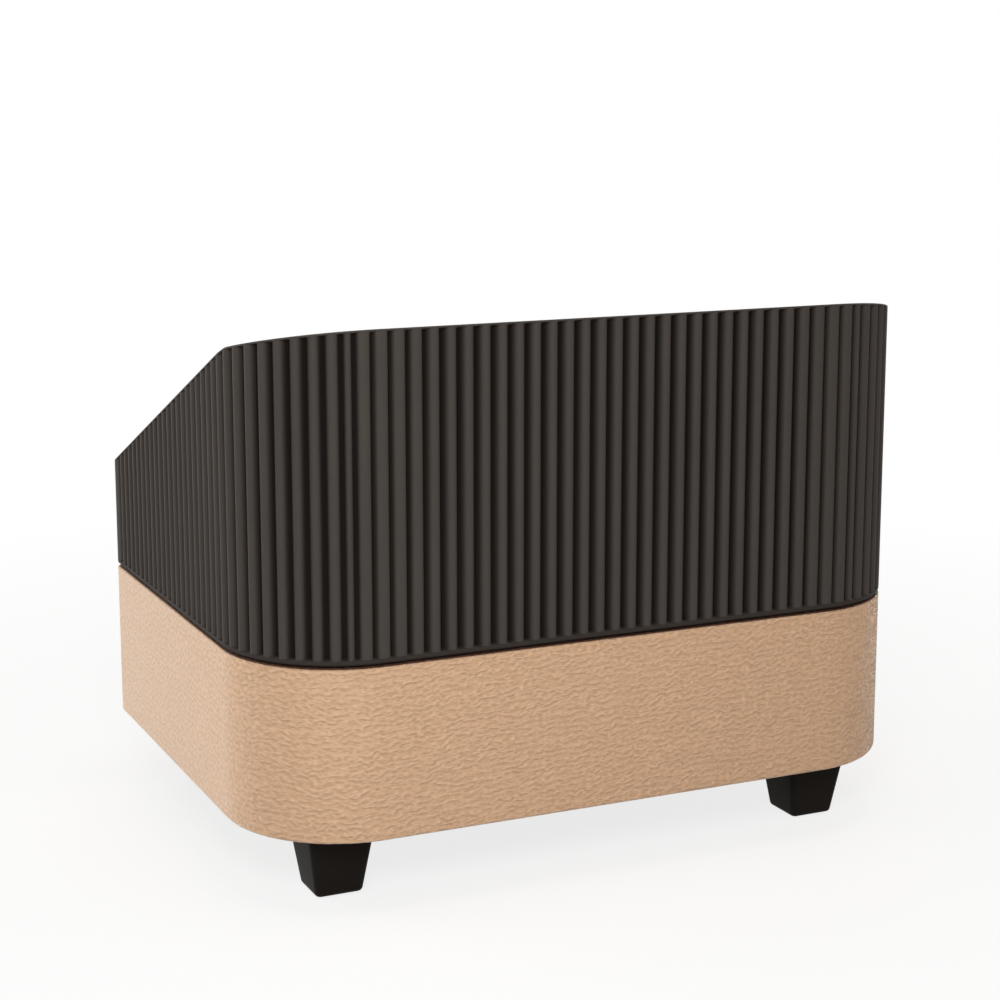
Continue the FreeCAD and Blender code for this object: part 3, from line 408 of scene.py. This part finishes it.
# The leather's turned edge.  EDGE_START and TURNED_EDGE are insets from the outline: where its flat part
# starts in the seam and where it turns up.  The rest are its play, how high the flat part rises, the room
# above it, and the roundings of its tip, bend and top.
EDGE_START = 0.45 * MM
TURNED_EDGE = 2.7 * MM
EDGE_PLAY = 0.02 * MM
EDGE_RISE = 0.18 * MM
EDGE_HEADROOM = 0.05 * MM
EDGE_TIP = 0.08 * MM
EDGE_BEND = 0.1 * MM
EDGE_TOP = 0.2 * MM


class Outline:
    """Half of the body's outline, walked from the middle of the back over the +X side to the middle of the
    front."""

    def __init__(self):
        self.half_width = shell_high.x
        self.back = shell_high.y
        self.front = shell_low.y
        self.back_end = self.half_width - BACK_RADIUS
        self.side_start = self.back_end + BACK_RADIUS * math.pi / 2
        self.side_end = self.side_start + (self.back - BACK_RADIUS) - (self.front + FRONT_RADIUS)
        self.front_start = self.side_end + FRONT_RADIUS * math.pi / 2
        self.length = self.front_start + self.half_width - FRONT_RADIUS

    def at(self, distance, inset):
        """The point at a distance along the outline, that far inside it."""
        tight = max(FRONT_RADIUS - inset, LEAST_RADIUS)
        corner_x = self.half_width - inset - tight
        corner_y = self.front + inset + tight
        if distance <= self.back_end:
            return Vector((distance, self.back - inset, 0))
        if distance <= self.side_start:
            turn = math.pi / 2 - (distance - self.back_end) / BACK_RADIUS
            radius = BACK_RADIUS - inset
            return Vector((self.back_end + radius * math.cos(turn),
                           self.back - BACK_RADIUS + radius * math.sin(turn), 0))
        if distance <= self.side_end:
            y = self.back - BACK_RADIUS - (distance - self.side_start)
            return Vector((self.half_width - inset, max(y, corner_y), 0))
        if distance <= self.front_start:
            turn = -(distance - self.side_end) / FRONT_RADIUS
            return Vector((corner_x + tight * math.cos(turn), corner_y + tight * math.sin(turn), 0))
        return Vector((min(self.length - distance, corner_x), self.front + inset, 0))


outline = Outline()


def groove_centres():
    """Distances of the grooves between the ribs along half the outline."""
    centres = []
    distance = RIB_PITCH / 2
    while distance < outline.back_end + CLOSING_ARC:
        centres.append(distance)
        distance += RIB_PITCH
    distance += NARROW_RIB - RIB_PITCH
    while distance < outline.side_end - CORNER_MARGIN:
        centres.append(distance)
        distance += RIB_PITCH
    front_count = int((outline.length - outline.front_start - CORNER_MARGIN) / RIB_PITCH + 0.5)
    for number in reversed(range(front_count)):
        centres.append(outline.length - RIB_PITCH * (number + 0.5))
    return centres


centres = groove_centres()


def slot_ranges():
    """Where the inside wall is slotted for the ends of the partitions, as ranges along half the outline."""
    def end_range(node, axis, at):
        low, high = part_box(node)
        middle, half = (low[axis] + high[axis]) / 2, (high[axis] - low[axis]) / 2 + SLOT_PLAY
        return at(middle) - half, at(middle) + half

    def along_side(y):
        return outline.side_start + outline.back - BACK_RADIUS - y

    return [end_range("brush_divider_right", 0, lambda x: x),
            end_range("rear_partition", 1, along_side),
            end_range("front_partition", 1, along_side),
            end_range("front_divider", 0, lambda x: outline.length - x)]


slots = slot_ranges()


def rib_depth(distance):
    """How far the ribbed surface lies inside the plain outline: narrow groove, sloped walls, crowned rib.
    The grooves are tightest where the back turns into the corner."""
    place = bisect.bisect(centres, distance)
    away = min(abs(distance - centre) for centre in centres[max(place - 1, 0):place + 1])
    to_turn = min(abs(distance - outline.back_end) / CORNER_REACH, 1.0)
    tightness = 1 - CORNER_TIGHT * (1 + math.cos(math.pi * to_turn)) / 2
    floor, foot = GROOVE_FLOOR * tightness, GROOVE_WALL * tightness
    rise = min(max((away - floor) / foot, 0.0), 1.0)
    wall = (1 + math.cos(math.pi * rise)) / 2
    off_middle = min(max((RIB_PITCH / 2 - away) / (RIB_PITCH / 2 - floor - foot), 0.0), 1.0)
    return RIB_CROWN * off_middle ** CROWN_FULLNESS + (GROOVE_DEPTH - RIB_CROWN) * wall


def stations():
    """Distances at which the half outline is sampled: close together on the groove walls."""
    steps = [GROOVE_FLOOR + GROOVE_WALL * share for share in WALL_SHARES]
    spots = {0.0, outline.length}
    for centre in centres:
        spots.add(centre)
        for step in steps:
            spots.update((centre - step, centre + step))
    for low, high in zip([-centres[0]] + centres, centres + [2 * outline.length - centres[-1]]):
        for share in CROWN_SHARES:
            spots.add(low + (high - low) * share)
    for low, high in slots:
        spots.update((low - SLOT_STEP, low, high, high + SLOT_STEP))
    for number in range(FRONT_STEPS + 1):
        spots.add(outline.side_end + (outline.front_start - outline.side_end) * number / FRONT_STEPS)
    inside = sorted(spot for spot in spots if 0 <= spot <= outline.length)
    return [inside[0]] + [b for a, b in zip(inside, inside[1:]) if b - a > LEAST_STEP]


crest_y = shell_high.y - CREST_LENGTH
crest_z = shell_high.z - CREST_DROP
gentle = CREST_DROP / CREST_LENGTH
steep = (crest_z - shell_low.z - FRONT_HEIGHT) / (crest_y - shell_low.y)
crest_tangent = CREST_RADIUS * math.tan((math.atan(steep) - math.atan(gentle)) / 2)


def roof_height(y):
    """Height of the shell's top edge: a gentle slope, a short arc and a steep slope down to the front."""
    gentle_end = crest_y + crest_tangent * math.cos(math.atan(gentle))
    steep_end = crest_y - crest_tangent * math.cos(math.atan(steep))
    if y >= gentle_end:
        return crest_z + gentle * (y - crest_y)
    if y <= steep_end:
        return crest_z - steep * (crest_y - y)
    centre_y = gentle_end + CREST_RADIUS * math.sin(math.atan(gentle))
    centre_z = crest_z + gentle * (gentle_end - crest_y) - CREST_RADIUS * math.cos(math.atan(gentle))
    return centre_z + math.sqrt(CREST_RADIUS ** 2 - (y - centre_y) ** 2)


def quarter(count):
    """Sine and cosine pairs of a quarter turn, without its start."""
    angles = [math.pi / 2 * i / count for i in range(1, count + 1)]
    return [(math.sin(angle), math.cos(angle)) for angle in angles]


def shell_rows():
    """The shell's section as rows from the seam up the ribs, over the thin lip that closes the grooves and
    the rim, down the inside and back under the flange.  A row holds its inset, its height above the base, its
    drop below the top edge, its share of the rib relief, its share of painted shade (full in the seam, fading
    up the bead), and whether it lies on the inside wall, where the slots are."""
    rows = [(SEAM_DEPTH, 0.0, None, 0.0, 1.0, False),
            (SEAM_DEPTH, SEAM_HEIGHT, None, 0.0, 1.0, False),
            (BEAD_ROUND, SEAM_HEIGHT, None, 0.0, 1.0, False)]
    for sine, cosine in quarter(5):
        rows.append((BEAD_ROUND * (1 - sine), SEAM_HEIGHT + BEAD_ROUND * (1 - cosine), None, 0.0,
                     1 - (1 - BEAD_SHADE) * sine, False))
    rows.append((0.0, SCOOP_START, None, 0.0, BEAD_SHADE, False))
    for sine, cosine in quarter(6):
        rows.append((0.0, SCOOP_START + SCOOP_LENGTH * (1 - cosine), None, sine,
                     BEAD_SHADE * (1 - sine), False))
    rows.append((0.0, None, LIP_HEIGHT + SCOOP_LENGTH, 1.0, 0.0, False))
    for sine, cosine in quarter(4):
        rows.append((0.0, None, LIP_HEIGHT + SCOOP_LENGTH * (1 - sine), cosine, 0.0, False))
    rows.append((0.0, None, LIP_ROUND, 0.0, 0.0, False))
    for sine, cosine in quarter(4):
        rows.append((LIP_ROUND * (1 - cosine), None, LIP_ROUND * (1 - sine), 0.0, 0.0, False))
    rows.append((SHELL_WALL - RIM_ROUND, None, 0.0, 0.0, 0.0, True))
    for sine, cosine in quarter(4):
        rows.append((SHELL_WALL - RIM_ROUND * (1 - sine), None, RIM_ROUND * (1 - cosine), 0.0, 0.0, True))
    rows.append((SHELL_WALL, FLANGE_PLATE, None, 0.0, 0.0, True))
    rows.append((SHELL_WALL + FLANGE, FLANGE_PLATE, None, 0.0, 0.0, False))
    rows.append((SHELL_WALL + FLANGE, 0.0, None, 0.0, 0.0, False))
    rows.append(rows[0])
    return rows


def shell_point(spot, mirrored, row):
    """The point of a row at a distance along the outline."""
    inset, rise, drop, ribbed, _, inside = row
    if inside and any(low <= spot <= high for low, high in slots):
        inset -= SLOT_DEPTH
    point = outline.at(spot, inset + ribbed * rib_depth(spot))
    point.z = shell_low.z + rise if drop is None else roof_height(point.y) - drop
    if mirrored:
        point.x = -point.x
    return point


def swept_round(rows):
    """One ring of points is extruded row by row round a section that runs along the whole outline."""
    half = stations()
    ring = [(spot, False) for spot in half] + [(spot, True) for spot in reversed(half[1:-1])]
    work = bmesh.new()
    place = work.verts.layers.int.new("place")
    # The share of painted shade at each point, read by the plastic's material.
    painted_shade = work.verts.layers.float.new("painted_shade")
    verts = []
    for number, (spot, mirrored) in enumerate(ring):
        vert = work.verts.new(shell_point(spot, mirrored, rows[0]))
        vert[place] = number
        verts.append(vert)
    edges = [work.edges.new((verts[i - 1], verts[i])) for i in range(len(verts))]
    for row in rows[1:]:
        made = bmesh.ops.extrude_edge_only(work, edges=edges)["geom"]
        edges = [item for item in made if isinstance(item, bmesh.types.BMEdge)
                 and all(vert in made for vert in item.verts)]
        for vert in made:
            if isinstance(vert, bmesh.types.BMVert):
                spot = ring[vert[place]]
                vert.co = shell_point(*spot, row)
                # Painted shade: the row's own share, or more on the groove walls and floors the deeper they
                # lie.
                vert[painted_shade] = max(row[4], row[3] * (rib_depth(spot[0]) / GROOVE_DEPTH) ** GROOVE_SHADE_FALL)
    bmesh.ops.remove_doubles(work, verts=work.verts, dist=MERGE)
    bmesh.ops.recalc_face_normals(work, faces=work.faces)
    return work


piece_for("ribbed_shell", "moulded_ribbed_shell", swept_round(shell_rows()), SHELL_SMOOTH_ANGLE)


def turned_up_edge():
    """The leather's upper edge, folded in over the base and turned up against the shell, coloured dark brown
    as painted shade in the seam.
    """
    back = SEAM_DEPTH - EDGE_PLAY
    under, over, top = EDGE_PLAY, EDGE_RISE, SEAM_HEIGHT - EDGE_HEADROOM
    corners = [(back, under), (EDGE_START, under),
               (EDGE_START, over - EDGE_TIP), (EDGE_START + EDGE_TIP, over),
               (TURNED_EDGE - EDGE_BEND, over), (TURNED_EDGE, over + EDGE_BEND),
               (TURNED_EDGE, top - EDGE_TOP), (TURNED_EDGE + EDGE_TOP, top), (back, top)]
    rows = [(inset, rise, None, 0.0, 0.0, False) for inset, rise in corners + corners[:1]]
    work = swept_round(rows)
    mesh = bpy.data.meshes.new("turned_leather_edge")
    work.to_mesh(mesh)
    work.free()
    mesh.shade_smooth()
    # Painted shade: these dark browns stand for the shadow inside the seam.
    mesh.materials.append(pebbled_leather("leather_edge_painted_seam_shade", "#5F4233", "#4B3428", 0.0))
    piece = bpy.data.objects.new("turned_leather_edge", mesh)
    bpy.context.scene.collection.objects.link(piece)
    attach(piece, "housing")


turned_up_edge()

# ---------------------------------------------------------------------------------------------------------
# Leather, felt, boards, partitions, feet and pads with softened edges, and the knob
# ---------------------------------------------------------------------------------------------------------

# For each node: its piece's name, the width of the rounded edges in millimetres and their segments.
soft_edges = {
    "leather_wrap": ("leather_cover", 0.8, 4),
    "drawer_front_leather": ("drawer_leather", 0.8, 4),
    "drawer_front": ("front_board", 0.3, 2),
    "drawer_inner_front": ("box_front", 0.4, 2),
    "drawer_back": ("box_back", 0.4, 2),
    "drawer_side_left": ("box_side_left", 0.4, 2),
    "drawer_side_right": ("box_side_right", 0.4, 2),
    "drawer_felt": ("felt_mat", 0.3, 2),
    "tray_floor": ("tray", 0.3, 2),
    "rear_partition": ("rear_wall", 0.4, 3),
    "front_partition": ("front_wall", 0.4, 3),
    "brush_divider_left": ("brush_wall_left", 0.4, 3),
    "brush_divider_right": ("brush_wall_right", 0.4, 3),
    "middle_divider": ("middle_wall", 0.4, 3),
    "front_divider": ("fore_wall", 0.4, 3),
}
for end in ("front", "back"):
    for side in ("left", "right"):
        soft_edges["foot_%s_%s" % (end, side)] = ("tapered_foot_%s_%s" % (end, side), 0.5, 3)
        soft_edges["foot_pad_%s_%s" % (end, side)] = ("rubber_pad_%s_%s" % (end, side), 0.3, 2)

for node, (name, width, segments) in soft_edges.items():
    piece_for(node, name, soften(merged_copy(node), width * MM, segments))
piece_for("drawer_knob", "turned_knob", merged_copy("drawer_knob"))

# ---------------------------------------------------------------------------------------------------------
# Floor, light and camera
# ---------------------------------------------------------------------------------------------------------

scene = bpy.context.scene


def looked_at(tree):
    """One for the rays that show a background: from the camera, or by way of metal or glass."""
    path = add(tree, "LightPath").outputs
    seen = add(tree, "Math", {0: path["Is Camera Ray"], 1: path["Is Glossy Ray"]},
               operation="MAXIMUM").outputs[0]
    return add(tree, "Math", {0: seen, 1: path["Is Transmission Ray"]}, operation="MAXIMUM").outputs[0]


def white_floor():
    """A pale floor.  The camera and mirror-like surfaces see it white, but for a soft shadow near the
    object, and see through it from below."""
    material, tree, where = new_material("pale_floor")
    seen = looked_at(tree)
    away = add(tree, "VectorMath", {0: where}, operation="LENGTH").outputs["Value"]
    fade = add(tree, "MapRange", {"Value": away, "From Min": 0.12, "From Max": 0.5,
                                  "To Min": 0.8, "To Max": 1.0}).outputs[0]
    share = add(tree, "Math", {0: seen, 1: fade}, operation="MULTIPLY").outputs[0]
    paint = add(tree, "BsdfDiffuse", {"Color": colour("#F4F4F4")}).outputs[0]
    glow = add(tree, "Emission", {"Color": colour("#FFFFFF"), "Strength": 1.0}).outputs[0]
    mixed = add(tree, "MixShader", {0: share, 1: paint, 2: glow}).outputs[0]
    below = add(tree, "NewGeometry").outputs["Backfacing"]
    clear = add(tree, "BsdfTransparent").outputs[0]
    shown = add(tree, "MixShader", {0: below, 1: mixed, 2: clear}).outputs[0]
    add(tree, "OutputMaterial", {"Surface": shown})
    work = bmesh.new()
    bmesh.ops.create_grid(work, x_segments=1, y_segments=1, size=6.0)
    mesh = bpy.data.meshes.new("floor")
    work.to_mesh(mesh)
    work.free()
    mesh.materials.append(material)
    floor = bpy.data.objects.new("floor", mesh)
    scene.collection.objects.link(floor)


def white_world():
    """White where it is looked at, and a faint warm light for the object."""
    world = bpy.data.worlds.new("studio")
    scene.world = world
    world.use_nodes = True
    tree = world.node_tree
    tree.nodes.clear()
    seen = looked_at(tree)
    ambient = add(tree, "Background", {"Color": colour("#FFF4E8"), "Strength": 0.18}).outputs[0]
    white = add(tree, "Background", {"Color": colour("#FFFFFF"), "Strength": 1.0}).outputs[0]
    mixed = add(tree, "MixShader", {0: seen, 1: ambient, 2: white}).outputs[0]
    add(tree, "OutputWorld", {"Surface": mixed})


def lamp(name, place, aim, size, watts, tint):
    """A round area lamp that faces a point."""
    data = bpy.data.lights.new(name, "AREA")
    data.shape = "DISK"
    data.size = size
    data.energy = watts
    data.color = colour(tint)[:3]
    item = bpy.data.objects.new(name, data)
    item.location = place
    item.rotation_euler = (Vector(aim) - Vector(place)).to_track_quat("-Z", "Y").to_euler()
    scene.collection.objects.link(item)


white_floor()
white_world()
body_centre = (0.0, 0.0, 0.09)
lamp("key", (0.26, 0.50, 0.36), body_centre, 0.20, 2.05, "#FFFFFF")
lamp("fill", (-0.80, 0.22, 0.30), body_centre, 0.3, 0.34, "#FFC08A")
lamp("side", (1.00, -0.96, 0.29), body_centre, 0.8, 9.8, "#FFFFFF")
lamp("front", (-0.8, -1.2, 0.5), body_centre, 0.9, 6.0, "#FFFFFF")
lamp("top", (0.0, 0.1, 1.3), body_centre, 0.5, 4.5, "#FFFFFF")

FOCAL_PIXELS = 2058.3
PICTURE_PIXELS = 1000
SENSOR = 36.0
CAMERA_PLACE = Vector((0.28769, 0.61841, 0.23886))
CAMERA_YAW = math.radians(23.709)
CAMERA_PITCH = math.radians(10.020)
CAMERA_ROLL = math.radians(-0.254)
CAMERA_SHIFT = 0.05

camera_data = bpy.data.cameras.new("camera")
camera_data.sensor_width = SENSOR
camera_data.lens = FOCAL_PIXELS / PICTURE_PIXELS * SENSOR
camera_data.shift_x = CAMERA_SHIFT
camera_data.shift_y = -CAMERA_SHIFT
camera = bpy.data.objects.new("camera", camera_data)
ahead = Vector((-math.sin(CAMERA_YAW) * math.cos(CAMERA_PITCH),
                -math.cos(CAMERA_YAW) * math.cos(CAMERA_PITCH),
                -math.sin(CAMERA_PITCH)))
level = ahead.cross(Vector((0, 0, 1))).normalized()
upward = level.cross(ahead)
right = level * math.cos(CAMERA_ROLL) + upward * math.sin(CAMERA_ROLL)
top = upward * math.cos(CAMERA_ROLL) - level * math.sin(CAMERA_ROLL)
turn = Matrix((right, top, -ahead)).transposed()
camera.matrix_world = Matrix.Translation(CAMERA_PLACE) @ turn.to_4x4()
scene.collection.objects.link(camera)
scene.camera = camera

scene.view_settings.view_transform = "Standard"
